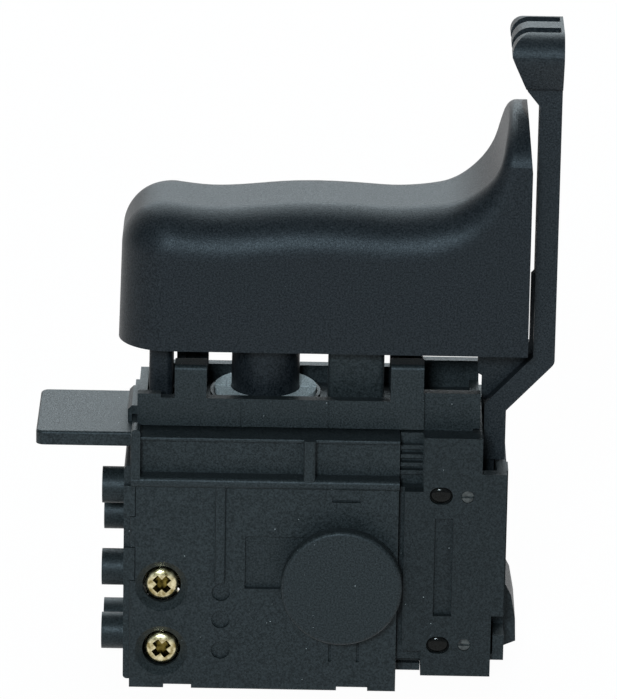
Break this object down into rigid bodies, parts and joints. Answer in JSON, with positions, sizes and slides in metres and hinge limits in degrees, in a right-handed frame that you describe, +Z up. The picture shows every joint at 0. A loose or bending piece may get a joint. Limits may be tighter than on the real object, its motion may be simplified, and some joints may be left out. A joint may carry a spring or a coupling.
{
  "type": "trigger switch",
  "caption": "Variable-speed trigger switch of a hand-held power tool, with lock button, reversing lever, terminal block and guard tab",
  "frame": {"origin": "on the bottom face of the main housing, under the plunger's axis", "axes": "+X along the trigger towards the reversing lever, +Y from the front cover into the switch, +Z up towards the trigger"},
  "size_m": [0.0644, 0.0262, 0.0841],
  "materials": {
    "black_nylon": "satin",
    "brass": "satin",
    "grey_felt": "matte",
    "green_board": "satin",
    "black_epoxy": "matte",
    "aluminium": "satin",
    "capacitor_sleeve": "gloss",
    "spring_steel": "satin",
    "zinc_steel": "satin"
  },
  "bodies": {
    "housing": {"housing_base": "black_nylon", "front_cover": "black_nylon", "terminal_block": "black_nylon", "terminal_clamps": "brass", "terminal_screws": "brass", "slide_frame": "black_nylon", "plunger_seal": "grey_felt", "fixed_contacts": "brass", "circuit_board": "green_board", "power_chip": "black_epoxy", "heat_sink": "aluminium", "capacitor": "capacitor_sleeve", "reverse_housing": "black_nylon", "reverse_cover": "black_nylon", "cover_rivets": "black_nylon", "locating_pins": "zinc_steel", "lever_pivot": "spring_steel", "reverse_contacts": "brass", "detent_ball": "spring_steel", "detent_spring": "spring_steel", "link_bars": "black_nylon", "return_spring": "spring_steel", "lock_spring": "spring_steel"},
    "trigger": {"trigger": "black_nylon", "plunger": "black_nylon", "contact_slider": "black_nylon", "moving_contact": "brass", "speed_wiper": "brass"},
    "lock_button": {"lock_button": "black_nylon", "lock_clip": "spring_steel"},
    "reverse_lever": {"reverse_lever": "black_nylon", "reverse_bridge": "brass"}
  },
  "joints": [
    {"name": "trigger_slide", "type": "slide", "parent": "housing", "child": "trigger", "axis": [0, 0, -1], "range_m": [0, 0.0055], "stiffness_N_per_m": 1200, "springref_m": -0.005, "deforming": ["return_spring"]},
    {"name": "lock_push", "type": "slide", "parent": "housing", "child": "lock_button", "axis": [0, 1, 0], "range_m": [0, 0.0018], "stiffness_N_per_m": 800, "springref_m": -0.002, "deforming": ["lock_spring"]},
    {"name": "reverse_swing", "type": "hinge", "parent": "housing", "child": "reverse_lever", "pos_m": [0.0281, 0, 0.022], "axis": [1, 0, 0], "range_deg": [-10, 10]}
  ]
}
